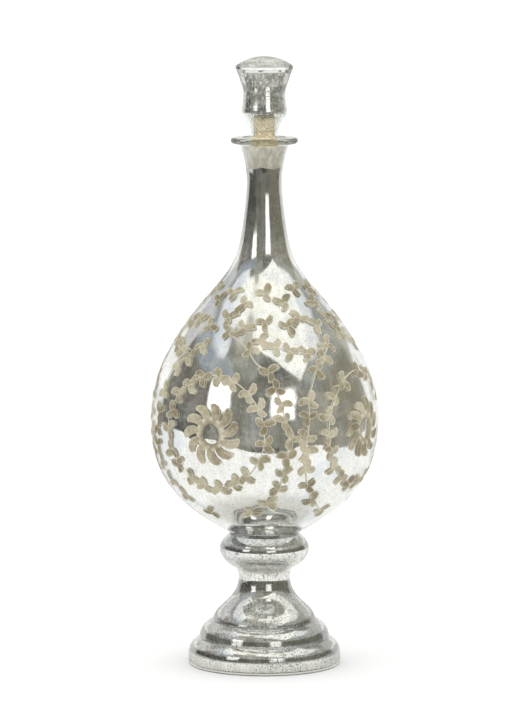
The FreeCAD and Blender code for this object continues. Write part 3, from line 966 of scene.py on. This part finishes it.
def world():
    """White to the camera, soft white light on matt surfaces, and a room with two windows in the silver."""
    scene = bpy.context.scene
    scene.world = bpy.data.worlds.new("studio")
    scene.world.use_nodes = True
    tree = scene.world.node_tree
    background = next(node for node in tree.nodes if node.type == "BACKGROUND")
    turning = bpy.data.objects.new("studio_turn", None)
    scene.collection.objects.link(turning)
    follow = turning.constraints.new("COPY_ROTATION")
    follow.target = scene.camera
    follow.use_x = follow.use_y = False
    way, rise, azimuth, elevation = looking(tree, turning)
    seen = ROOM
    for colour, brightness, left, right, low, high, soft in PATCHES:
        across = band(tree, azimuth, left, right, soft)
        inside = calculate(tree, "MULTIPLY", across, band(tree, elevation, low, high, soft))
        bright = tuple(channel * brightness for channel in colour[:3]) + (1.0,)
        seen = blend(tree, inside, seen, bright)
    seen = ceiling(tree, azimuth, elevation, seen)
    mottle = ease(tree, noise(tree, way, 9.0, 6.0, 0.7), 0.3, 0.7, 0.86, 1.1)
    seen = blend(tree, 1.0, seen, mottle, "MULTIPLY")
    path = add(tree, "ShaderNodeLightPath")
    fill = ease(tree, rise, -0.3, 1.0, 1.15, 1.45)
    grey = add(tree, "ShaderNodeCombineColor", {0: fill, 1: fill, 2: fill}).outputs[0]
    seen = blend(tree, path.outputs["Is Diffuse Ray"], seen, grey)
    seen = blend(tree, path.outputs["Is Camera Ray"], seen, (1.0, 1.0, 1.0, 1.0))
    tree.links.new(seen, background.inputs[0])
    return turning


def sheet(name, corners, height, material):
    mesh = bpy.data.meshes.new(name)
    mesh.from_pydata([(x, y, height) for x, y in corners], [], [range(len(corners))])
    mesh.materials.append(material)
    plane = bpy.data.objects.new(name, mesh)
    bpy.context.scene.collection.objects.link(plane)
    return plane


def floor():
    """A plain pale floor for the camera, which takes the soft contact shadow."""
    material, tree, shader, place = new_material("floor_paper")
    tone = noise(tree, place, 3.0, 2.0)
    colour = blend(tree, tone, (0.90, 0.90, 0.90, 1.0), (0.92, 0.92, 0.915, 1.0))
    connect(tree, shader, Base_Color=colour, Roughness=0.9, Specular_IOR_Level=0.0)
    size = 14.0
    plane = sheet("floor", ((-size, -size), (size, -size), (size, size), (-size, size)), -0.0002, material)
    plane.visible_glossy = False
    plane.visible_transmission = False


def table(turning):
    """The white table top as the silver sees it: a glowing sheet standing in for the lit table, with a
    painted shadow near the bottle.
    """
    material = bpy.data.materials.new("table_white")
    material.use_nodes = True
    tree = material.node_tree
    tree.nodes.clear()
    place = add(tree, "ShaderNodeTexCoord").outputs["Object"]
    tone = blend(tree, noise(tree, place, 5.0, 3.0), linear(236, 236, 234), linear(252, 252, 250))
    away = add(tree, "ShaderNodeVectorMath", {0: place}, operation="LENGTH").outputs["Value"]
    # Painted shadow: the glow darkens towards the bottle's foot.
    tone = blend(tree, ease(tree, away, 0.045, 0.12), linear(196, 194, 187), tone)
    glow = add(tree, "ShaderNodeEmission", {0: tone, 1: 1.15})
    add(tree, "ShaderNodeOutputMaterial", {0: glow.outputs[0]})
    plane = sheet("table", TABLE, -0.0004, material)
    plane.parent = turning
    plane.visible_camera = False
    plane.visible_diffuse = False
    plane.visible_shadow = False


def camera():
    data = bpy.data.cameras.new("camera")
    data.lens = LENS
    data.shift_x = SHIFT
    eye = bpy.data.objects.new("camera", data)
    bpy.context.scene.collection.objects.link(eye)
    eye.location = (0.0, -CAMERA_DISTANCE, CAMERA_HEIGHT)
    tilt = math.atan2(CAMERA_HEIGHT - AIM_HEIGHT, CAMERA_DISTANCE)
    eye.rotation_euler = (math.pi / 2 - tilt, 0.0, 0.0)
    bpy.context.scene.camera = eye


def light_paths():
    scene = bpy.context.scene
    scene.view_settings.view_transform = "Standard"
    scene.cycles.max_bounces = 20
    scene.cycles.transmission_bounces = 14
    scene.cycles.glossy_bounces = 8
    scene.cycles.transparent_max_bounces = 16


build_bottle()
build_stopper()
camera()
table(world())
floor()
light_paths()
